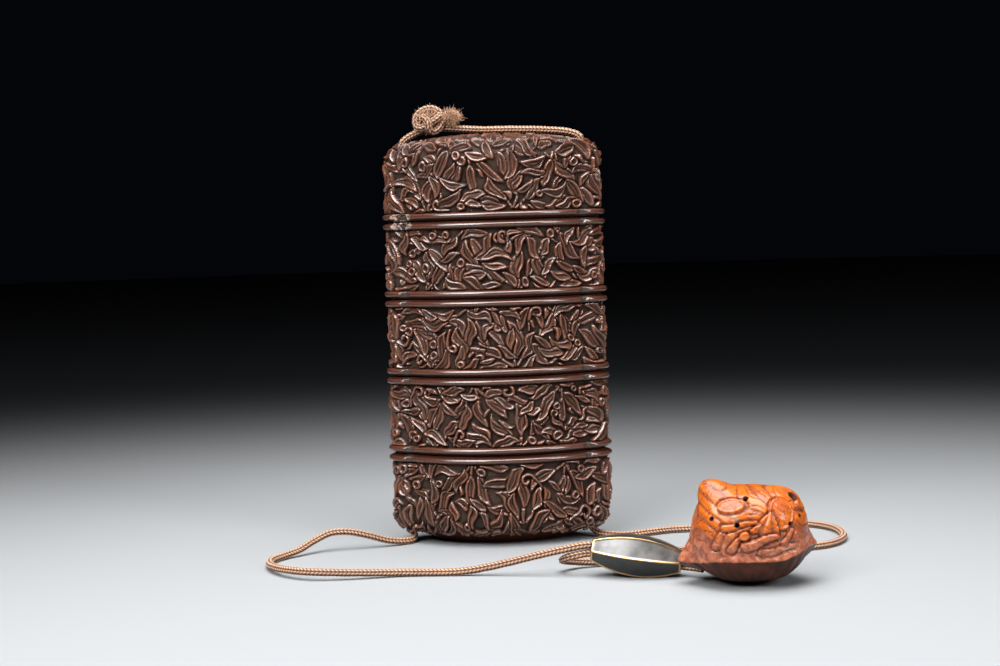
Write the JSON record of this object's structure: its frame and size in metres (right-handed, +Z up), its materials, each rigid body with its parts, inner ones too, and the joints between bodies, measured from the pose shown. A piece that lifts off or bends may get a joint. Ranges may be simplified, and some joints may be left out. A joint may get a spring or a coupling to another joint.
{
  "type": "inro case",
  "caption": "Stacked carved wooden belt case of nesting compartments, threaded on a silk cord with a sliding bead and a carved toggle.",
  "frame": {"origin": "on the floor under the middle of the case, where its underside rests", "axes": "+Z up the case, +X along its width to the right seen from the front, -Y out of the front"},
  "size_m": [0.1338, 0.0806, 0.1049],
  "materials": {
    "case_wood": "carved, rubbed and waxed, dark red-brown with near-black recesses",
    "cord_silk": "flat braided silk, dusty pink-tan",
    "bead_metal": "dark grey patinated panels with thin gilt ribs",
    "toggle_nut": "carved and polished nut, orange-brown above and dark brown below"
  },
  "bodies": {
    "root": {"base_section": "case_wood", "lower_tier": "case_wood", "middle_tier": "case_wood", "upper_tier": "case_wood", "lid": "case_wood", "cord_through_left_side": "cord_silk", "cord_through_right_side": "cord_silk", "cord_over_lid_left": "cord_silk", "cord_over_lid_right": "cord_silk", "cord_knot": "cord_silk", "cord_left_run": "cord_silk", "cord_right_run": "cord_silk", "cord_bead": "bead_metal", "toggle": "toggle_nut"}
  },
  "joints": []
}
